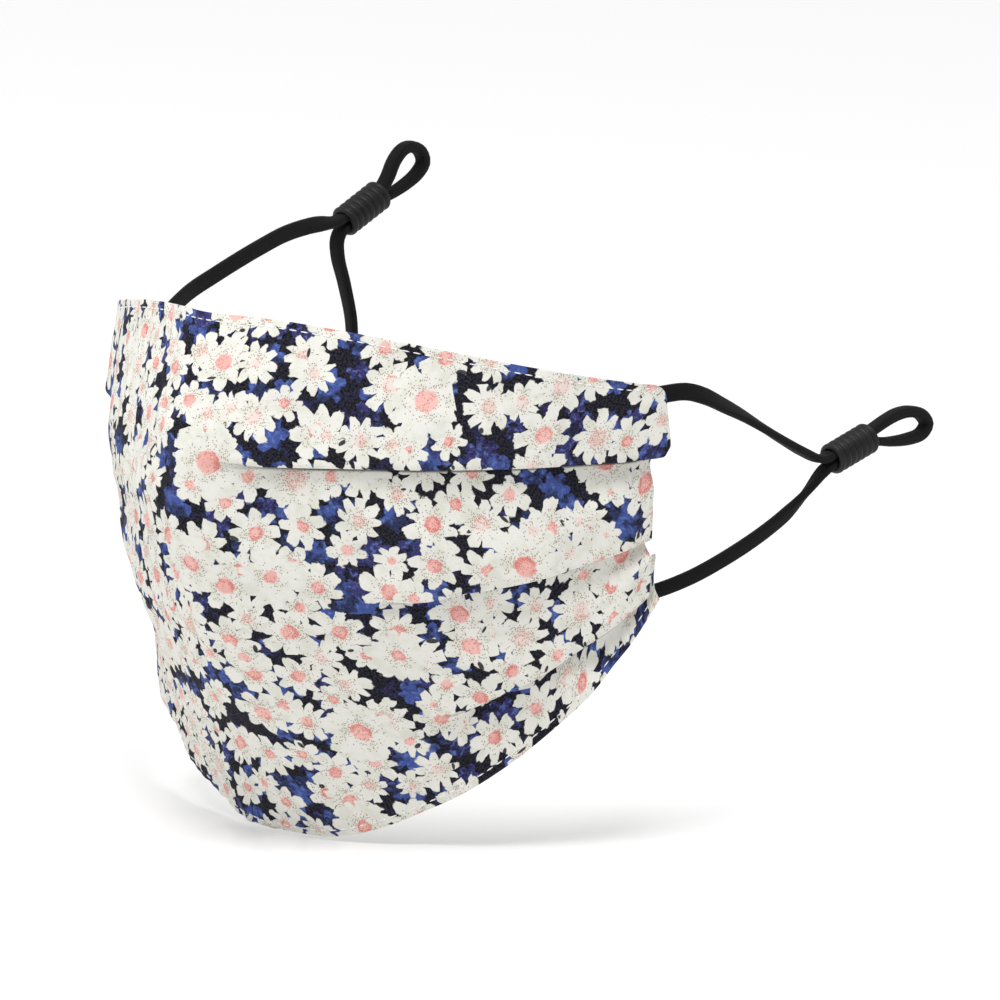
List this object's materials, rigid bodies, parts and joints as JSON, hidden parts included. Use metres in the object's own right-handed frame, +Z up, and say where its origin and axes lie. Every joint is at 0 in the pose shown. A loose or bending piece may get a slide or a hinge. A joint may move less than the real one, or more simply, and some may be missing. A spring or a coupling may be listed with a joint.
{
  "type": "cloth face mask",
  "caption": "Pleated cloth face mask with a small daisy print, worn over nose and chin, with black elastic ear loops drawn through ribbed length adjusters.",
  "frame": {"origin": "the point of the top edge that sits on the bridge of the nose, on the ridge between the two halves", "axes": "+Z up, -Y forward (the way the wearer faces), +X to the wearer's left"},
  "size_m": [0.157, 0.1781, 0.1309],
  "materials": {
    "printed_cotton": "plain weave cotton, ivory daisies with pink centres on navy",
    "black_elastic": "matt knitted elastic",
    "black_rubber": "satin moulded rubber"
  },
  "bodies": {
    "root": {"mask_panel": "printed_cotton", "ear_loop_left": "black_elastic", "ear_loop_right": "black_elastic", "adjuster_left": "black_rubber", "adjuster_right": "black_rubber"}
  },
  "joints": []
}
